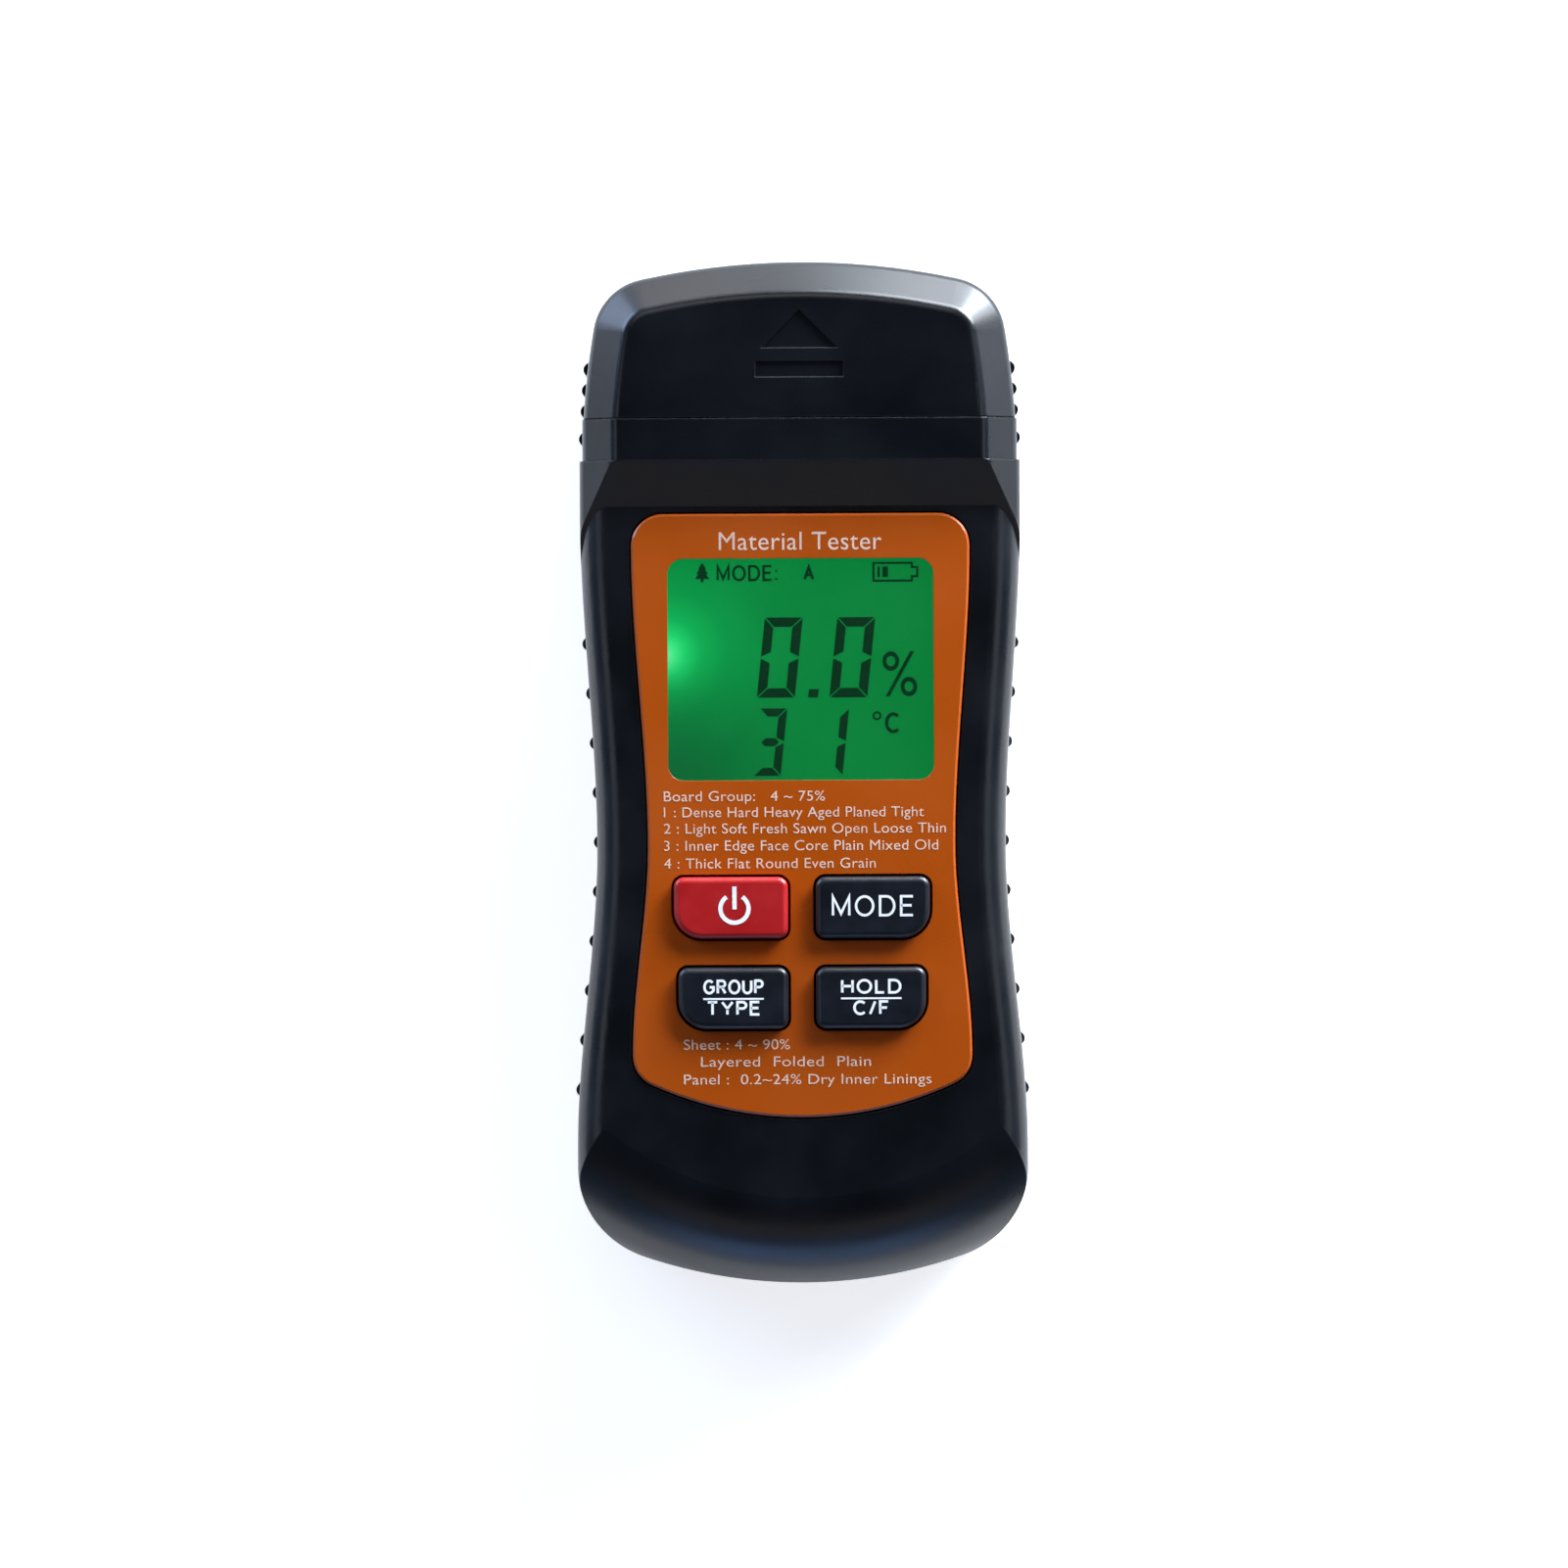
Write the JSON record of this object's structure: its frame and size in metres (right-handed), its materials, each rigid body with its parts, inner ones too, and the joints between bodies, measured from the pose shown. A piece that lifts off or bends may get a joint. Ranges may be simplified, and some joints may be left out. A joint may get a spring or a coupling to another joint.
{
  "type": "moisture meter",
  "caption": "Hand-held pin moisture meter: waisted black case, orange faceplate, backlit display, rubber keys and a pull-off cap over two measuring pins.",
  "frame": {"origin": "middle of the back face, which the meter lies on", "axes": "+Y along the meter towards the pins and the cap, +X to the right seen from the front, +Z out of the front face"},
  "size_m": [0.064, 0.144, 0.031],
  "materials": {
    "case_plastic": "moulded black ABS, satin",
    "cap_plastic": "moulded black ABS, satin",
    "grip_rubber": "moulded soft rubber, matt",
    "plate_orange": "orange printed overlay, gloss",
    "window_clear": "clear acrylic",
    "display_green": "backlit display, green",
    "guide_clear": "light guide, frosted",
    "frame_black": "moulded black",
    "key_red": "silicone rubber, red",
    "key_black": "silicone rubber, black",
    "silicone_grey": "silicone sheet, grey",
    "carbon": "carbon loaded rubber",
    "gold_pad": "gold plated copper",
    "board_green": "solder mask on glass board",
    "chip_black": "moulded epoxy",
    "part_steel": "bright steel",
    "pin_steel": "hardened steel, polished",
    "brass_part": "turned brass",
    "block_white": "insulating moulding, black",
    "battery_case": "printed steel jacket",
    "foam": "foam rubber",
    "wire_red": "PVC insulation, red",
    "wire_black": "PVC insulation, black",
    "resistor_black": "ceramic chip resistors",
    "bead_glass": "glass bead"
  },
  "bodies": {
    "meter": {"front_shell": "case_plastic", "rear_shell": "case_plastic", "head_collar": "cap_plastic", "left_grip": "grip_rubber", "right_grip": "grip_rubber", "faceplate": "plate_orange", "display_window": "window_clear", "lcd_glass": "display_green", "lcd_frame": "frame_black", "light_guide": "guide_clear", "backlight_lamp": "guide_clear", "contact_strip": "silicone_grey", "key_mat": "silicone_grey", "contact_pads": "gold_pad", "main_board": "board_green", "board_screws": "part_steel", "controller_chip": "chip_black", "buzzer": "chip_black", "timing_crystal": "part_steel", "board_resistors": "resistor_black", "temperature_sensor": "bead_glass", "housing_screws": "part_steel", "battery": "battery_case", "battery_pad": "foam", "battery_snap": "frame_black", "red_battery_lead": "wire_red", "black_battery_lead": "wire_black", "pin_block": "block_white", "left_pin_socket": "brass_part", "right_pin_socket": "brass_part", "left_pin": "pin_steel", "right_pin": "pin_steel", "left_pin_lead": "wire_red", "right_pin_lead": "wire_black"},
    "cap": {"cap": "cap_plastic"},
    "battery_door": {"battery_door": "case_plastic"},
    "power_key": {"power_key": "key_red", "power_pill": "carbon"},
    "wood_key": {"wood_key": "key_black", "wood_pill": "carbon"},
    "wall_key": {"wall_key": "key_black", "wall_pill": "carbon"},
    "hold_key": {"hold_key": "key_black", "hold_pill": "carbon"}
  },
  "joints": [
    {"name": "cap_slide", "type": "slide", "parent": "meter", "child": "cap", "axis": [0, 1, 0], "range_m": [0, 0.026]},
    {"name": "battery_door_slide", "type": "slide", "parent": "meter", "child": "battery_door", "axis": [0, -1, 0], "range_m": [0, 0.07]},
    {"name": "power_key_press", "type": "slide", "parent": "meter", "child": "power_key", "axis": [0, 0, -1], "range_m": [0, 0.0009], "stiffness_N_per_m": 1500},
    {"name": "wood_key_press", "type": "slide", "parent": "meter", "child": "wood_key", "axis": [0, 0, -1], "range_m": [0, 0.0009], "stiffness_N_per_m": 1500},
    {"name": "wall_key_press", "type": "slide", "parent": "meter", "child": "wall_key", "axis": [0, 0, -1], "range_m": [0, 0.0009], "stiffness_N_per_m": 1500},
    {"name": "hold_key_press", "type": "slide", "parent": "meter", "child": "hold_key", "axis": [0, 0, -1], "range_m": [0, 0.0009], "stiffness_N_per_m": 1500}
  ]
}
